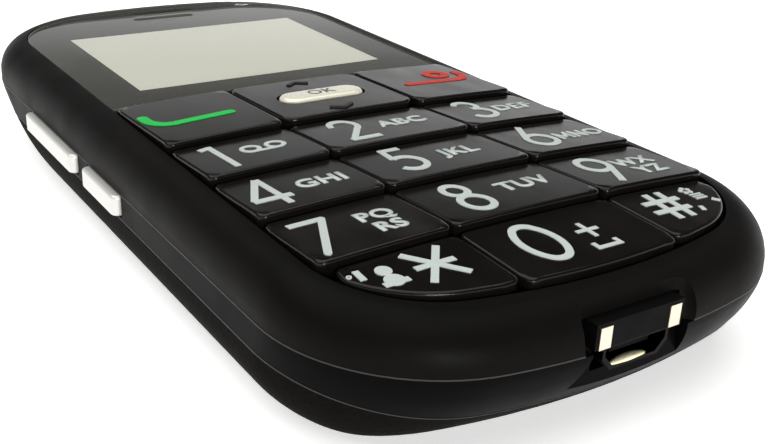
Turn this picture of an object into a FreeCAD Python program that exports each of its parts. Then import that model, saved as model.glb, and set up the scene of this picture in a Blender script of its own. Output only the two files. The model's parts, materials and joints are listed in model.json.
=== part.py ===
import FreeCAD
import Part
import math
import os

# Candy-bar handset with large keys, in millimetres. The origin is the centre of the flat of the back,
# +Y runs to the earpiece end, +Z out of the front. Each function builds one piece or one family of pieces.
# Heights are counted from the back, and lengths from the ends of the body unless a name says otherwise.

V = FreeCAD.Vector
X_AXIS = V(1, 0, 0)
Z_AXIS = V(0, 0, 1)

# ---- whole body ----------------------------------------------------------------------------------
body_length = 110.0
body_width = 53.5
key_plane_z = 14.7
front_parting_z = 8.95
rear_parting_z = 6.2
parting_dip_start = 17.5
parting_dip_radius = 45.0
top_corner_radius = 17.5
bottom_corner_radius = 16.5
top_end_radius = 125.0
bottom_end_radius = 72.0
crown_radius = 520.0
end_roll_radius = 95.0
end_roll_length = 19.4
rim_radius = 3.9
rim_sink = 0.15
back_side_round = 5.0
back_bottom_run = 7.9
back_bottom_power = 1.5
back_top_run = 32.0
back_top_power = 1.4
back_corner_tightening = 10.5
wall_corner_share = 0.6

# ---- walls and general clearances ----------------------------------------------------------------
housing_wall = 1.6
housing_end_wall = 2.6
roof_thickness = 1.0
cover_wall = 1.3
part_gap = 0.15
board_gap = 0.5

# ---- the field in the front that holds the lens and the keys -------------------------------------
side_rim = 3.95
top_rim = 3.6
bottom_rim = 4.4
field_top_corner = 13.0
field_bottom_corner = 11.5
field_top_radius = 120.0
field_bottom_radius = 60.0

# ---- lens, display and earpiece ------------------------------------------------------------------
lens_length = 44.7
lens_recess = 1.4
lens_gap = 0.12
lens_sink = 0.05
lens_chamfer = 0.2
gasket_thickness = 0.2
gasket_width = 2.2
gasket_inset = 0.3
display_side_margin = 5.2
display_lower_margin = 5.4
display_upper_margin = 9.7
display_thickness = 1.4
display_drop = 0.2
display_window_gap = 0.5
display_pocket_gap = 0.15
display_frame_margin = 1.8
earpiece_setback = 4.4
earpiece_length = 9.6
earpiece_width = 1.6
earpiece_hole_margin = 0.5
mesh_overlap = 0.8
receiver_length = 10.4
receiver_width = 6.0

# ---- keys ----------------------------------------------------------------------------------------
call_row_length = 15.64
row_bow_radius = 700.0
centre_column_width = 17.54
key_gap = 0.55
key_edge_gap = 0.3
key_rise = 0.7
key_corner_radius = 1.6
key_top_round = 0.3
key_cap_clearance = 0.55
key_neck_inset = 1.1
key_neck_gap = 0.2
key_foot_overlap = 0.5
key_foot_thickness = 0.4
plunger_radius = 1.3
plunger_length = 0.25
corner_key_shift = 1.0
ok_half_length = 5.4
ok_half_width = 1.9
ok_gap = 0.3
ok_proud = 0.35
ok_top_round = 0.6
ok_flange = 0.6
ok_flange_drop = 0.75
nav_neck_extra = 0.2
nav_rib_radius = 0.3
nav_foot_drop = 0.35
nav_nub_length = 0.15
nav_nub_offset = 5.0

# ---- keypad layers -------------------------------------------------------------------------------
keypad_frame_thickness = 0.4
keypad_frame_gap = 0.25
keypad_frame_tab = 0.6
web_height = 0.7
web_thickness = 0.3
web_leg_width = 0.9
web_overhang = 0.6
web_hole_gap = 0.5
dome_radius = 2.2
dome_height = 0.35
dome_sheet_thickness = 0.1
dome_sheet_inset = 1.4

# ---- board and what stands on it -----------------------------------------------------------------
board_lift = 0.35
board_thickness = 1.0
shield_height = 1.0
shield_wall = 0.25
shield_side_margin = 6.75
shield_low_margin = 4.9
shield_length = 16.8
shield_split = 1.0
power_shield_step = 2.0
mic_x = 9.0
mic_setback = 6.6
mic_radius = 2.0
mic_height = 1.4
sim_width = 17.0
sim_length = 15.0
sim_height = 1.4
sim_wall = 0.3
sim_side_margin = 4.0
sim_low_margin = 9.6

# ---- screws --------------------------------------------------------------------------------------
top_screw_side = 5.45
top_screw_end = 19.0
middle_screw_side = 6.55
middle_screw_rise = 1.8
end_screw_side = 7.4
end_screw_end = 9.2
screw_boss_radius = 1.6
screw_radius = 0.75
screw_gap = 0.1
screw_head_radius = 1.5
screw_head_height = 0.9
screw_bite = 1.6
screw_slot_width = 0.3
screw_slot_length = 1.6
screw_slot_depth = 0.5

# ---- mid frame -----------------------------------------------------------------------------------
frame_floor_drop = 2.3
frame_floor_thickness = 1.2
frame_end_extra = 2.6
frame_top_extra = 0.8
lip_height = 0.6
lip_thickness = 0.9
battery_side_margin = 9.75
battery_bottom_margin = 30.4
battery_thickness = 4.9
battery_corner = 1.2
battery_edge_round = 0.8
battery_gap = 0.3
bay_wall = 1.0
bay_wall_height = 3.2

# ---- rear parts ----------------------------------------------------------------------------------
connector_half_width = 5.5
connector_depth = 2.2
connector_height = 3.0
blade_thickness = 0.35
blade_width = 1.0
blade_height = 1.5
blade_pitch = 3.2
speaker_x = 9.5
speaker_setback = 19.2
speaker_radius = 5.5
speaker_height = 2.6
speaker_recess = 0.5
speaker_rim = 0.9
speaker_bay_gap = 1.0
motor_x = -11.0
motor_radius = 4.0
motor_height = 2.7
antenna_half_width = 10.0
antenna_gap = 0.7
antenna_width = 2.7
antenna_height = 1.3
antenna_skin = 0.5
antenna_wall = 0.9
grille_slots = 4
grille_pitch = 2.0
grille_length = 9.0
grille_width = 0.9
pry_notch_radius = 4.0
pry_notch_height = 1.1

# ---- bottom end: dock contacts and inlet socket --------------------------------------------------
dock_half_width = 5.7
dock_height = 2.4
dock_depth = 3.4
dock_scoop_radius = 5.0
dock_scoop_reach = 0.7
dock_scoop_lift = 0.4
dock_scoop_round = 1.4
dock_scoop_wall = 0.5
block_half_width = 5.0
block_setback = 0.6
block_depth = 4.2
contact_inner_x = 3.33
contact_width = 1.29
contact_height = 2.05
contact_thickness = 0.35
contact_setback = 0.5
contact_leg_end = 0.4
socket_setback = 0.8
socket_width = 7.5
socket_height = 2.45
socket_corner_x = 1.0
socket_corner_z = 1.1
socket_depth = 5.6
socket_wall = 0.3
socket_back_wall = 0.6
socket_gap = 0.3
socket_tab_width = 0.8
socket_tab_x = 3.2
tongue_half_width = 2.4
tongue_thickness = 0.6
tongue_setback = 0.7
tongue_drop = 0.65
notch_half_width = 5.4
notch_flare = 1.6
notch_depth = 1.8
notch_bottom_z = 3.0

# ---- side keys -----------------------------------------------------------------------------------
upper_key_offset = 1.3
upper_key_length = 17.8
side_key_spacing = 3.7
lower_key_length = 10.2
side_key_lift = 0.3
side_key_height = 2.3
side_key_proud = 0.9
side_key_gap = 0.2
side_key_end_round = 0.85
side_key_face_round = 0.35
rocker_flange_gap = 0.4
side_flange_overlap = 0.8
side_flange_thickness = 0.6
side_pocket_margin = 1.2
side_nub_length = 0.3
side_nub_half = 0.6
side_board_setback = 2.95
side_board_thickness = 0.6
side_board_margin = 0.5
side_switch_thickness = 0.9
side_switch_half = 1.7
side_switch_inset = 2.2
switch_tip_radius = 0.6
switch_tip_length = 0.2
rocker_rest_half = 0.25
rocker_rest_gap = 0.02

# ---- sizes that follow ---------------------------------------------------------------------------
key_rows = (("key_call", "key_nav", "key_end"), ("key_1", "key_2", "key_3"), ("key_4", "key_5", "key_6"),
            ("key_7", "key_8", "key_9"), ("key_star", "key_0", "key_hash"))
row_count = len(key_rows) - 1
half_length = body_length / 2
half_width = body_width / 2
far = body_length + body_width
inner_half_width = half_width - housing_wall
end_roll_start_y = end_roll_length - half_length

lens_seat_z = key_plane_z - lens_recess
lens_base_z = lens_seat_z + gasket_thickness
roof_z = lens_seat_z - roof_thickness
keypad_frame_bottom_z = roof_z - keypad_frame_thickness
board_bottom_z = front_parting_z + board_lift
board_top_z = board_bottom_z + board_thickness
frame_floor_bottom_z = board_bottom_z - frame_floor_drop
web_top_z = board_top_z + web_height

field_half_width = half_width - side_rim
field_top_y = half_length - top_rim
field_bottom_y = bottom_rim - half_length
lens_bottom_y = field_top_y - lens_length
keypad_top_y = lens_bottom_y - key_edge_gap
first_row_y = keypad_top_y - call_row_length
row_pitch = (first_row_y - field_bottom_y) / row_count
row_tops = [keypad_top_y] + [first_row_y - i * row_pitch for i in range(row_count)]
column_gap_x = centre_column_width / 2
key_cap_bottom_z = roof_z + key_cap_clearance
key_foot_bottom_z = keypad_frame_bottom_z - key_foot_thickness
nav_foot_bottom_z = key_foot_bottom_z - nav_foot_drop
ok_flange_top_z = key_cap_bottom_z - ok_flange_drop

display_half_width = field_half_width - display_side_margin
display_bottom_y = lens_bottom_y + display_lower_margin
display_top_y = field_top_y - display_upper_margin
display_top_z = lens_seat_z - display_drop
earpiece_y = field_top_y - earpiece_setback

dock_top_z = front_parting_z + dock_height
contact_face_y = contact_setback - half_length
block_face_y = block_setback - half_length
block_back_y = block_face_y + block_depth
board_end_y = housing_end_wall + board_gap - half_length
socket_mouth_y = socket_setback - half_length
socket_back_y = socket_mouth_y + socket_depth
socket_top_z = front_parting_z
socket_bottom_z = socket_top_z - socket_height

upper_key_y = (lens_bottom_y + upper_key_offset, lens_bottom_y + upper_key_offset + upper_key_length)
lower_key_y = (upper_key_y[0] - side_key_spacing - lower_key_length, upper_key_y[0] - side_key_spacing)
side_key_bottom_z = rear_parting_z + side_key_lift
side_key_top_z = side_key_bottom_z + side_key_height
side_board_x = side_board_setback - inner_half_width

battery_half_width = half_width - battery_side_margin
battery_bottom_y = battery_bottom_margin - half_length
speaker_y = half_length - speaker_setback
battery_top_y = speaker_y - speaker_radius - speaker_bay_gap - bay_wall - battery_gap
speaker_floor_z = frame_floor_bottom_z - speaker_height
mic_y = mic_setback - half_length
sim_x0 = sim_side_margin - battery_half_width
sim_x1 = sim_x0 + sim_width
sim_y0 = battery_bottom_y + sim_low_margin
sim_y1 = sim_y0 + sim_length

screw_places = [(half_width - top_screw_side, half_length - top_screw_end)]
screw_places += [(half_width - middle_screw_side, lens_bottom_y + middle_screw_rise)]
screw_places += [(half_width - end_screw_side, end_screw_end - half_length)]
screw_points = [(sx * x, y) for x, y in screw_places for sx in (-1, 1)]


# ==== shared shapes =================================================================================

def arc_edge(a, b, c):
    return Part.Arc(a, b, c).toShape()


def box(x0, x1, y0, y1, z0, z1):
    return Part.makeBox(x1 - x0, y1 - y0, z1 - z0, V(x0, y0, z0))


def cylinder(x, y, z0, z1, radius):
    return Part.makeCylinder(radius, z1 - z0, V(x, y, z0), Z_AXIS)


def edges_along(solid, axis):
    """The straight edges that run along one axis."""
    return [e for e in solid.Edges if abs(e.tangentAt(e.FirstParameter).dot(axis)) > 0.99]


def rounded_box(x0, x1, y0, y1, z0, z1, radius):
    solid = box(x0, x1, y0, y1, z0, z1)
    return solid.makeFillet(radius, edges_along(solid, Z_AXIS))


def slot_solid(length, width, x, y, z0, z1):
    """Upright solid with the outline of a round-ended slot along X."""
    half = length / 2 - width / 2
    solid = box(x - half, x + half, y - width / 2, y + width / 2, z0, z1)
    for sx in (-1, 1):
        solid = solid.fuse(cylinder(x + sx * half, y, z0, z1, width / 2))
    return solid.removeSplitter()


def corner(half, y_end, radius, end_radius, side):
    """Centre of a corner arc tangent to the side line and to the shallow end arc, and where they meet."""
    end_y = y_end - side * end_radius
    centre_x = half - radius
    centre_y = end_y + side * math.sqrt((end_radius - radius) ** 2 - centre_x ** 2)
    angle = math.atan2(abs(centre_y - end_y), centre_x)
    return centre_x, centre_y, angle


def outline(half, y_top, y_bottom, corners, ends, z):
    """Closed wire of two side lines, four corner arcs and two shallow end arcs, all tangent."""
    edges = []
    tip = {}
    for side, y_end, radius, end_radius in zip((1, -1), (y_top, y_bottom), corners, ends):
        cx, cy, angle = corner(half, y_end, radius, end_radius, side)
        for sx in (1, -1):
            points = []
            for turn in (0, angle / 2, angle):
                points.append(V(sx * (cx + radius * math.cos(turn)), cy + side * radius * math.sin(turn), z))
            edges.append(arc_edge(*points))
            tip[(side, sx)] = (points[0], points[2])
        edges.append(arc_edge(tip[(side, 1)][1], V(0, y_end, z), tip[(side, -1)][1]))
    for sx in (1, -1):
        edges.append(Part.makeLine(tip[(1, sx)][0], tip[(-1, sx)][0]))
    return Part.Wire(Part.__sortEdges__(edges))


def body_outline(z, side=0.0, top=None, bottom=None, tighten=0.0):
    """The body's plan outline, inset by its own amount at the sides, the top end and the bottom end."""
    top = side if top is None else top
    bottom = side if bottom is None else bottom
    corners = (top_corner_radius - wall_corner_share * side,
               bottom_corner_radius - wall_corner_share * side - tighten)
    ends = (top_end_radius, bottom_end_radius)
    return outline(half_width - side, half_length - top, bottom - half_length, corners, ends, z)


def field_outline(z, inset=0.0):
    """The outline of the field in the front, inset evenly."""
    corners = (field_top_corner - inset, field_bottom_corner - inset)
    ends = (field_top_radius - inset, field_bottom_radius - inset)
    return outline(field_half_width - inset, field_top_y - inset, field_bottom_y + inset, corners, ends, z)


def prism(wire, height):
    return Part.Face(wire).extrude(V(0, 0, height))


def row_band(y_low, y_high, z0, z1):
    """Slab between two row lines that bow gently towards the bottom end at the sides."""
    reach = body_width
    drop = row_bow_radius - math.sqrt(row_bow_radius ** 2 - reach ** 2)
    left_high = V(-reach, y_high - drop, z0)
    right_high = V(reach, y_high - drop, z0)
    left_low = V(-reach, y_low - drop, z0)
    right_low = V(reach, y_low - drop, z0)
    edges = [arc_edge(left_high, V(0, y_high, z0), right_high), Part.makeLine(right_high, right_low)]
    edges += [arc_edge(right_low, V(0, y_low, z0), left_low), Part.makeLine(left_low, left_high)]
    return Part.Face(Part.Wire(edges)).extrude(V(0, 0, z1 - z0))


def above_row_line(y, z0=0.0):
    return row_band(y, far, z0, far)


def below_row_line(y, z0=0.0):
    return row_band(-far, y, z0, far)


def crown_face(y, z, floor_z):
    """Upright face under the front's crown: an arc across the top, square below."""
    reach = body_width
    drop = crown_radius - math.sqrt(crown_radius ** 2 - reach ** 2)
    left = V(-reach, y, z - drop)
    right = V(reach, y, z - drop)
    low_left = V(-reach, y, floor_z)
    low_right = V(reach, y, floor_z)
    edges = [arc_edge(left, V(0, y, z), right), Part.makeLine(right, low_right)]
    edges += [Part.makeLine(low_right, low_left), Part.makeLine(low_left, left)]
    return Part.Face(Part.Wire(edges))


def under_front(sink=0.0):
    """Solid under the front surface: crowned across, straight along, and rolling down at the bottom end."""
    top_z = key_plane_z - sink
    face = crown_face(end_roll_start_y, top_z, front_parting_z - rim_radius)
    straight = face.extrude(V(0, half_length - end_roll_start_y + housing_wall, 0))
    angle = math.degrees(1.5 * end_roll_length / end_roll_radius)
    roll = face.revolve(V(0, end_roll_start_y, top_z - end_roll_radius), X_AXIS, angle)
    return straight.fuse(roll).removeSplitter()


def front_z(y):
    """Height of the front surface on the centre line."""
    past = max(0.0, end_roll_start_y - y)
    return key_plane_z - end_roll_radius + math.sqrt(end_roll_radius ** 2 - past ** 2)


def turn_under(z, rise, run, power):
    """How far a rounded edge that starts to turn under at one height has pulled in at another."""
    part = min(1.0, abs(rise - z) / rise)
    return run * (1 - (1 - part ** power) ** (1 / power))


def back_insets(z, wall=0.0):
    """Insets of the back at height z at the sides, top end and bottom end; a wall gives its inside."""
    above = z - wall
    rise = front_parting_z - wall
    side_round = back_side_round - wall
    side = turn_under(min(above, side_round), side_round, side_round, 2)
    top = turn_under(above, rise, back_top_run - wall, back_top_power)
    bottom = turn_under(above, rise, back_bottom_run - wall, back_bottom_power)
    return side + wall, top + wall, bottom + wall, back_corner_tightening * side / side_round


def lower_envelope(wall=0.0):
    """The body below the front parting, down to the back; a wall thickness gives its inside."""
    rise = front_parting_z - wall
    side_round = back_side_round - wall
    heights = [front_parting_z + i * rise / 9 for i in (2, 1, 0, -1, -2)]
    heights += [wall + side_round * (1 - math.sin(math.radians(a))) for a in (0, 15, 30, 45, 60, 75, 90)]
    sections = [body_outline(z, *back_insets(z, wall)) for z in heights]
    solid = Part.makeLoft(sections, True, False)
    return solid.common(box(-far, far, -far, far, -rise, front_parting_z))


def above_rear_parting(drop=0.0):
    """Everything above the cover's edge, which runs level and then dips along an arc at the bottom end."""
    z = rear_parting_z - drop
    start_y = parting_dip_start - half_length
    centre_z = z - parting_dip_radius
    points = []
    for turn in (0.25, 0.5):
        y = start_y - parting_dip_radius * math.sin(turn)
        points.append(V(-far, y, centre_z + parting_dip_radius * math.cos(turn)))
    start = V(-far, start_y, z)
    top = V(-far, far, z)
    high = V(-far, far, far)
    low = V(-far, points[1].y, far)
    edges = [arc_edge(start, points[0], points[1]), Part.makeLine(points[1], low), Part.makeLine(low, high)]
    edges += [Part.makeLine(high, top), Part.makeLine(top, start)]
    return Part.Face(Part.Wire(edges)).extrude(V(2 * far, 0, 0))


def notch_solid():
    """The flared notch in the bottom end that a plug comes through."""
    top = notch_half_width
    low = notch_half_width + notch_flare
    y0 = -half_length - notch_depth
    corners = [V(-top, y0, front_parting_z), V(top, y0, front_parting_z)]
    corners += [V(low, y0, notch_bottom_z), V(-low, y0, notch_bottom_z)]
    wire = Part.makePolygon(corners + corners[:1])
    return Part.Face(wire).extrude(V(0, 2 * notch_depth, 0))


# ==== housing =======================================================================================

def front_shell():
    solid = prism(body_outline(front_parting_z), key_plane_z).common(under_front(rim_sink))
    rim = []
    for edge in solid.Edges:
        along = edge.tangentAt((edge.FirstParameter + edge.LastParameter) / 2)
        high = edge.BoundBox.ZMin > front_parting_z + housing_wall / 2
        across = abs(edge.CenterOfMass.x) < 1 and abs(edge.CenterOfMass.y) < half_length - rim_radius
        if high and abs(along.z) < 0.8 and not across:
            rim.append(edge)
    return solid.makeFillet(rim_radius, rim)


def dock_scoop():
    """Shallow finger-width hollow over the dock opening, with rounded ends."""
    reach = dock_half_width + dock_scoop_reach
    centre_y = housing_end_wall - dock_scoop_wall - dock_scoop_radius - half_length
    start = V(-reach, centre_y, dock_top_z + dock_scoop_lift)
    rod = Part.makeCylinder(dock_scoop_radius, 2 * reach, start, X_AXIS)
    rims = [e for e in rod.Edges if e.BoundBox.XLength < 0.01]
    return rod.makeFillet(dock_scoop_round, rims)


def front_housing():
    solid = front_shell()
    cavity = body_outline(front_parting_z, housing_wall, housing_wall, housing_end_wall)
    solid = solid.cut(prism(cavity, roof_z - front_parting_z))
    solid = solid.cut(prism(field_outline(lens_seat_z), key_plane_z))
    low = roof_z - roof_thickness
    keypad_window = prism(field_outline(low), key_plane_z)
    solid = solid.cut(keypad_window.common(below_row_line(lens_bottom_y)))
    solid = solid.cut(display_block(display_window_gap, low, key_plane_z, 2 * display_window_gap))
    hole = earpiece_hole_margin
    solid = solid.cut(slot_solid(earpiece_length + 2 * hole, earpiece_width + 2 * hole, 0, earpiece_y, low,
                                 key_plane_z))
    for x, y in screw_points:
        pilot_z = board_top_z + screw_bite + screw_gap
        pilot = cylinder(x, y, front_parting_z, pilot_z, screw_radius + screw_gap)
        solid = solid.fuse(cylinder(x, y, board_top_z, roof_z, screw_boss_radius)).cut(pilot)
    solid = solid.cut(box(-dock_half_width, dock_half_width, -far, dock_depth - half_length, 0, dock_top_z))
    return solid.cut(dock_scoop()).removeSplitter()


def lip_outline(z, inset):
    """Outline of the lip that stands inside the cover's wall, taken in from its outer face."""
    cover_side, cover_top = back_insets(rear_parting_z - lip_height, cover_wall)[:2]
    bottom = cover_wall + part_gap + frame_end_extra
    return body_outline(z, cover_side + part_gap + inset, cover_top + part_gap + inset, bottom + inset)


def mid_frame():
    ring_side = cover_wall + part_gap + lip_thickness
    ring_bottom = ring_side + frame_end_extra
    ring_top = ring_bottom + frame_top_extra
    solid = lower_envelope().common(above_rear_parting())
    solid = solid.cut(prism(body_outline(0, ring_side, ring_top, ring_bottom), far))
    floor_z, under = frame_floor_bottom_z, part_gap
    floor = body_outline(floor_z, ring_side - under, ring_top - under, ring_bottom - under)
    solid = solid.fuse(prism(floor, frame_floor_thickness))
    lip_z = rear_parting_z - lip_height
    lip = prism(lip_outline(lip_z, 0), frame_floor_bottom_z - lip_z)
    solid = solid.fuse(lip.cut(prism(lip_outline(0, lip_thickness), far)))
    solid = solid.fuse(battery_bay())
    for x, y in screw_points:
        solid = solid.fuse(cylinder(x, y, frame_floor_bottom_z, board_bottom_z, screw_boss_radius))
        solid = solid.cut(cylinder(x, y, 0, frame_floor_bottom_z, screw_head_radius + screw_gap))
        solid = solid.cut(cylinder(x, y, 0, board_top_z, screw_radius + screw_gap))
    solid = solid.cut(side_pocket())
    gap = side_key_gap
    for y0, y1 in (upper_key_y, lower_key_y):
        solid = solid.cut(box(-far, part_gap - inner_half_width, y0 - gap, y1 + gap,
                              side_key_bottom_z - part_gap, front_parting_z))
    solid = solid.cut(notch_solid())
    gap = socket_gap
    solid = solid.cut(box(-socket_width / 2 - gap, socket_width / 2 + gap, -far, socket_back_y + gap,
                          socket_bottom_z - gap, front_parting_z))
    solid = solid.cut(cylinder(mic_x, mic_y, 0, front_parting_z, mic_radius + board_gap))
    solid = solid.cut(box(sim_x0 - board_gap, sim_x1 + board_gap, sim_y0 - board_gap, sim_y1 + board_gap, 0,
                          front_parting_z))
    return solid.removeSplitter()


def battery_bay():
    """Low wall round the battery, open where its contacts come out."""
    gap = battery_gap
    bay = battery_gap + bay_wall
    x, y0, y1 = battery_half_width, battery_bottom_y, battery_top_y
    z1 = frame_floor_bottom_z
    z0 = z1 - bay_wall_height
    wall = rounded_box(-x - bay, x + bay, y0 - bay, y1 + bay, z0, z1, battery_corner + bay_wall)
    wall = wall.cut(rounded_box(-x - gap, x + gap, y0 - gap, y1 + gap, 0, z1, battery_corner))
    opening = connector_half_width + gap
    return wall.cut(box(-opening, opening, y1 - gap, y1 + 2 * bay, 0, z1))


def side_pocket():
    """Room inside the left wall for the side keys' flanges, switches and board."""
    y0 = lower_key_y[0] - side_pocket_margin - side_flange_overlap
    y1 = upper_key_y[1] + side_pocket_margin + side_flange_overlap
    return box(-inner_half_width, side_board_x + board_gap, y0, y1, side_key_bottom_z - side_key_lift,
               front_parting_z)


def battery_cover():
    solid = lower_envelope().cut(above_rear_parting()).cut(lower_envelope(cover_wall))
    solid = solid.cut(notch_solid())
    for i in range(grille_slots):
        y = speaker_y + (i - (grille_slots - 1) / 2) * grille_pitch
        slot = slot_solid(grille_length, grille_width, speaker_x, y, -cover_wall, speaker_floor_z)
        solid = solid.cut(slot)
    pry = cylinder(0, half_length, rear_parting_z - pry_notch_height, rear_parting_z, pry_notch_radius)
    return solid.cut(pry).removeSplitter()


# ==== front glass and display =======================================================================

def display_lens():
    solid = prism(field_outline(lens_base_z, lens_gap), key_plane_z).common(under_front(lens_sink))
    solid = solid.common(above_row_line(lens_bottom_y))
    solid = solid.cut(slot_solid(earpiece_length, earpiece_width, 0, earpiece_y, 0, far))
    rim = []
    for edge in solid.Edges:
        bounds = edge.BoundBox
        if bounds.ZMin > lens_base_z + lens_chamfer and abs(bounds.Center.y - earpiece_y) > earpiece_width:
            rim.append(edge)
    return solid.makeChamfer(lens_chamfer, rim)


def lens_gasket():
    rings = []
    for inset in (lens_gap + gasket_inset, lens_gap + gasket_inset + gasket_width):
        sheet = prism(field_outline(lens_seat_z, inset), gasket_thickness)
        rings.append(sheet.common(above_row_line(lens_bottom_y + inset)))
    return rings[0].cut(rings[1])


def earpiece_mesh():
    return slot_solid(earpiece_length + 2 * mesh_overlap, earpiece_width + 2 * mesh_overlap, 0, earpiece_y,
                      lens_seat_z, lens_base_z)


def display_block(grow, z0, z1, radius):
    """Block over the display's rectangle, grown by a margin."""
    x = display_half_width + grow
    return rounded_box(-x, x, display_bottom_y - grow, display_top_y + grow, z0, z1, radius)


def display_panel():
    return display_block(0, display_top_z - display_thickness, display_top_z, display_window_gap)


def display_frame():
    solid = display_block(display_frame_margin, board_top_z, roof_z - part_gap, 2 * display_window_gap)
    pocket_z = display_top_z - display_thickness
    return solid.cut(display_block(display_pocket_gap, pocket_z, roof_z, display_window_gap))


def earpiece_receiver():
    return rounded_box(-receiver_length / 2, receiver_length / 2, earpiece_y - receiver_width / 2,
                       earpiece_y + receiver_width / 2, board_top_z, roof_z, receiver_width / 4)


# ==== keypad ========================================================================================

def key_region(column, row, inset, z0, z1):
    """The cell of one key: between two row lines and two column lines, inside the field's outline."""
    side = inset + key_gap / 2
    y_low = row_tops[row + 1] + key_gap + inset if row < row_count else -far
    cell = prism(field_outline(z0, key_edge_gap + inset), z1 - z0)
    cell = cell.common(row_band(y_low, row_tops[row] - inset, z0, z1))
    if column == 0:
        return cell.common(box(-far, -column_gap_x - side, -far, far, z0, z1))
    if column == 1:
        return cell.common(box(side - column_gap_x, column_gap_x - side, -far, far, z0, z1))
    return cell.common(box(column_gap_x + side, far, -far, far, z0, z1))


def key_centre(column, row):
    """Where a key presses; the two corner keys press further in, clear of the corner they lose."""
    x = (column - 1) * (column_gap_x + field_half_width) / 2
    y_low = row_tops[row + 1] if row < row_count else field_bottom_y
    y = (row_tops[row] + y_low) / 2
    if row == row_count and column != 1:
        return x - (column - 1) * corner_key_shift, y + corner_key_shift
    return x, y


def key_places():
    return [key_centre(column, row) for row in range(row_count + 1) for column in range(3)]


def under_key_top(row, lift=0.0):
    """Solid under a slanted, crowned key top: low along its upper edge, raised along its lower edge."""
    y_high = row_tops[row]
    y_low = row_tops[row + 1] + key_gap if row < row_count else field_bottom_y + key_edge_gap
    z_high = front_z(y_high) + lift
    slope = (front_z(y_low) + key_rise + lift - z_high) / (y_low - y_high)
    past = (y_high - y_low) / 3
    face = crown_face(y_high + past, z_high + past * slope, front_parting_z - rim_radius)
    run = y_low - y_high - 2 * past
    return face.extrude(V(0, run, run * slope))


def sharp_uprights(solid):
    """Upright edges where two faces meet at a real corner."""
    found = []
    for edge in edges_along(solid, Z_AXIS):
        at = edge.valueAt((edge.FirstParameter + edge.LastParameter) / 2)
        faces = solid.ancestorsOfType(edge, Part.Face)
        normals = [f.normalAt(*f.Surface.parameter(at)) for f in faces]
        if len(normals) == 2 and abs(normals[0].dot(normals[1])) < 0.9:
            found.append(edge)
    return found


def top_edges(solid, z_limit):
    return [e for e in solid.Edges if e.BoundBox.ZMin > z_limit]


def key_cap(column, row):
    cap = key_region(column, row, 0, key_cap_bottom_z, far)
    cap = cap.makeFillet(key_corner_radius, sharp_uprights(cap))
    cap = cap.common(under_key_top(row))
    return cap.makeFillet(key_top_round, top_edges(cap, key_cap_bottom_z + key_top_round))


def clear_of_bosses(solid):
    """Cuts round the screw bosses, and over them as far as the keycaps, so that a pressed key stays free."""
    for x, y in screw_points:
        solid = solid.cut(cylinder(x, y, 0, key_cap_bottom_z, screw_boss_radius + part_gap))
    return solid


def key_stem(column, row):
    """Neck through the keypad frame, foot that bears up on it, and the nub that meets the dome."""
    foot_top = keypad_frame_bottom_z
    neck = key_region(column, row, key_neck_inset, foot_top, key_cap_bottom_z)
    foot = key_region(column, row, key_neck_inset - key_foot_overlap, key_foot_bottom_z, foot_top)
    x, y = key_centre(column, row)
    nub = cylinder(x, y, key_foot_bottom_z - plunger_length, key_foot_bottom_z, plunger_radius)
    return clear_of_bosses(neck.fuse([foot, nub]))


def key(column, row):
    return key_cap(column, row).fuse(key_stem(column, row)).removeSplitter()


def ok_outline_solid(grow, z0, z1):
    x, y = key_centre(1, 0)
    return slot_solid(2 * (ok_half_length + grow), 2 * (ok_half_width + grow), x, y, z0, z1)


def key_nav():
    """Rocker round the OK bar. A rounded rib across its foot is the line it rocks on."""
    x, y = key_centre(1, 0)
    foot_top = nav_foot_bottom_z + key_foot_thickness
    neck = key_region(1, 0, key_neck_inset + nav_neck_extra, foot_top, key_cap_bottom_z)
    foot = key_region(1, 0, key_neck_inset - key_foot_overlap, nav_foot_bottom_z, foot_top)
    half = column_gap_x - key_gap / 2 - key_neck_inset + key_foot_overlap
    radius = nav_rib_radius
    rib_z = keypad_frame_bottom_z - radius
    rib = Part.makeCylinder(radius, 2 * half, V(-half, y, rib_z), X_AXIS)
    web = box(-half, half, y - radius, y + radius, nav_foot_bottom_z, rib_z)
    nub_z = nav_foot_bottom_z - nav_nub_length
    nubs = []
    for sy in (-1, 1):
        nubs.append(cylinder(x, y + sy * nav_nub_offset, nub_z, nav_foot_bottom_z, plunger_radius))
    solid = key_cap(1, 0).fuse([neck, foot, rib, web] + nubs)
    solid = solid.cut(ok_outline_solid(ok_gap, 0, far))
    return solid.cut(ok_outline_solid(ok_gap + ok_flange, 0, ok_flange_top_z + part_gap)).removeSplitter()


def key_ok():
    """Bar through the rocker, held in by a flange under the rocker's cap."""
    x, y = key_centre(1, 0)
    flange_bottom = ok_flange_top_z - ok_flange
    bar = ok_outline_solid(0, ok_flange_top_z, far).common(under_key_top(0, ok_proud))
    bar = bar.makeFillet(ok_top_round, top_edges(bar, lens_seat_z))
    flange = ok_outline_solid(ok_flange, flange_bottom, ok_flange_top_z)
    nub = cylinder(x, y, nav_foot_bottom_z, flange_bottom, plunger_radius)
    return bar.fuse([flange, nub]).removeSplitter()


def keypad_frame():
    """Stiff plate under the housing's roof, with a window for each key's neck."""
    z0 = keypad_frame_bottom_z
    edge = housing_wall + keypad_frame_gap
    plate = prism(body_outline(z0, edge, edge, housing_end_wall + keypad_frame_gap), keypad_frame_thickness)
    plate = plate.common(below_row_line(lens_bottom_y + keypad_frame_tab))
    for row in range(row_count + 1):
        for column in range(3):
            plate = plate.cut(key_region(column, row, key_neck_inset - key_neck_gap, 0, far))
    return clear_of_bosses(plate).removeSplitter()


def keypad_sheet(outset, z0, z1):
    """Flat blank over the whole keypad, a little past its edge or short of it."""
    return prism(field_outline(z0, -outset), z1 - z0).common(below_row_line(keypad_top_y + outset))


def block_clearance(gap):
    return box(-block_half_width - gap, block_half_width + gap, -far, block_back_y + gap, 0, far)


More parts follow.
